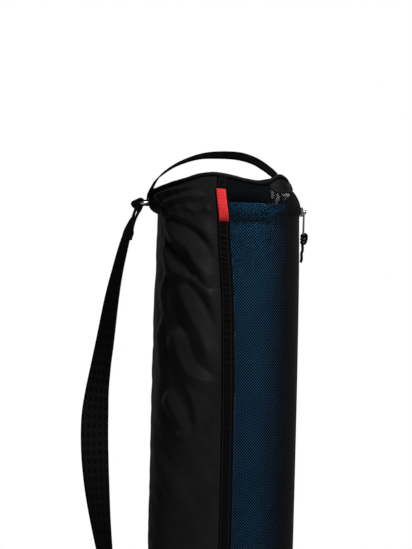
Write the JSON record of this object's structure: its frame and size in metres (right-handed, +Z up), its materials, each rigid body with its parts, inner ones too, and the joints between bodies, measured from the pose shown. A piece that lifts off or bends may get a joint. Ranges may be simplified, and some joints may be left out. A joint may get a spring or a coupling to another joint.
{
  "type": "yoga mat bag with rolled mat",
  "caption": "Tall round cloth and net bag holding a rolled exercise mat, with a zip, a carry handle over the slack top and a long shoulder strap down one side.",
  "frame": {"origin": "centre of the base, on the surface the bag stands on", "axes": "+Z up along the bag, -Y towards the front with the seam tape and label, +X towards the zip"},
  "size_m": [0.2512, 0.1674, 0.7217],
  "materials": {
    "coated_cloth": "close black coated cloth with a soft sheen",
    "open_net": "black open net, matt",
    "binding_tape": "black woven tape, matt",
    "webbing": "black woven webbing, matt",
    "red_label": "red woven label, bare",
    "bright_metal": "bright plated metal",
    "zip_coil": "black moulded coil",
    "mat_foam": "blue foam, matt"
  },
  "bodies": {
    "bag": {"side_panel": "coated_cloth", "mesh_front": "open_net", "mesh_back": "open_net", "top_cap": "coated_cloth", "rim_binding": "binding_tape", "base_panel": "coated_cloth", "base_piping": "binding_tape", "front_seam_tape": "binding_tape", "back_seam_tape": "binding_tape", "zip_tape_front": "binding_tape", "zip_tape_back": "binding_tape", "zip_coil": "zip_coil", "zip_slider": "bright_metal", "carry_handle": "webbing", "ear_patch": "coated_cloth", "ring_tab": "webbing", "strap_ring": "bright_metal", "shoulder_strap": "webbing", "strap_anchor": "coated_cloth", "label_tab": "red_label", "rolled_mat": "mat_foam"},
    "zip_puller": {"zip_pull": "bright_metal", "zip_pull_tab": "webbing"}
  },
  "joints": [
    {"name": "pull_hinge", "type": "hinge", "parent": "bag", "child": "zip_puller", "pos_m": [0.08589, 0.00751, 0.6554], "axis": [0.0872, -0.9962, 0], "range_deg": [0, 160]}
  ]
}
